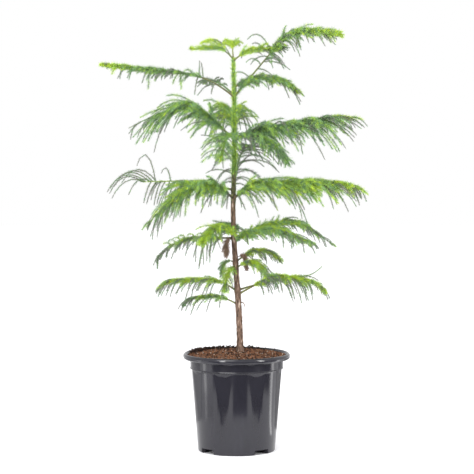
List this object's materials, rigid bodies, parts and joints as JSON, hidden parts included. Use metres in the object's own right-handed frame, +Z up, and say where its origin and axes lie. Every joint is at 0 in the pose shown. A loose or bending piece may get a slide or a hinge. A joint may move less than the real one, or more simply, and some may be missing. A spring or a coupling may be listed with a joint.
{
  "type": "potted cook pine",
  "caption": "Young potted conifer: a slim leaning trunk with whorls of drooping needle fronds, in a ribbed dark nursery pot filled with soil.",
  "frame": {"origin": "centre of the pot's flat underside, on the floor", "axes": "+Z up along the pot's axis, +X to the right of the picture's view, +Y away from the camera"},
  "size_m": [0.6062, 0.3998, 0.9905],
  "materials": {
    "pot_plastic": "moulded, satin to gloss",
    "soil": "loose crumbs of coco peat",
    "bark": "rough bark, green towards the top",
    "bough_bark": "thin green-brown bark",
    "needles": "soft green needles",
    "dead_needles": "dry brown needles"
  },
  "bodies": {
    "root": {"pot": "pot_plastic", "soil": "soil", "trunk": "bark", "bough_top_left": "bough_bark", "bough_top_right": "bough_bark", "bough_top_back_right": "bough_bark", "bough_top_back_left": "bough_bark", "bough_high_left": "bough_bark", "bough_high_right": "bough_bark", "bough_high_back": "bough_bark", "bough_mid_left": "bough_bark", "bough_mid_right": "bough_bark", "bough_mid_back": "bough_bark", "bough_low_left": "bough_bark", "bough_base_left": "bough_bark", "bough_base_right": "bough_bark", "bough_base_back_right": "bough_bark", "bough_foot_left": "bough_bark", "frond_crest_left": "needles", "frond_crest_right": "needles", "frond_crest_back": "needles", "frond_top_left": "needles", "frond_top_right": "needles", "frond_top_back_right": "needles", "frond_top_back_left": "needles", "frond_high_left": "needles", "frond_high_right": "needles", "frond_high_back": "needles", "frond_high_front_left": "needles", "frond_high_front_right": "needles", "frond_mid_left": "needles", "frond_mid_front_left": "needles", "frond_mid_right": "needles", "frond_mid_back": "needles", "frond_low_left": "needles", "frond_low_front_left": "needles", "frond_low_right": "needles", "frond_low_front_right": "needles", "frond_low_back": "needles", "frond_short_right": "needles", "frond_short_front_right": "needles", "frond_short_left": "needles", "frond_short_front_left": "needles", "frond_base_left": "needles", "frond_base_right": "needles", "frond_base_back_right": "needles", "frond_foot_left": "needles", "frond_dead_left": "dead_needles", "frond_dead_right": "dead_needles"}
  },
  "joints": []
}
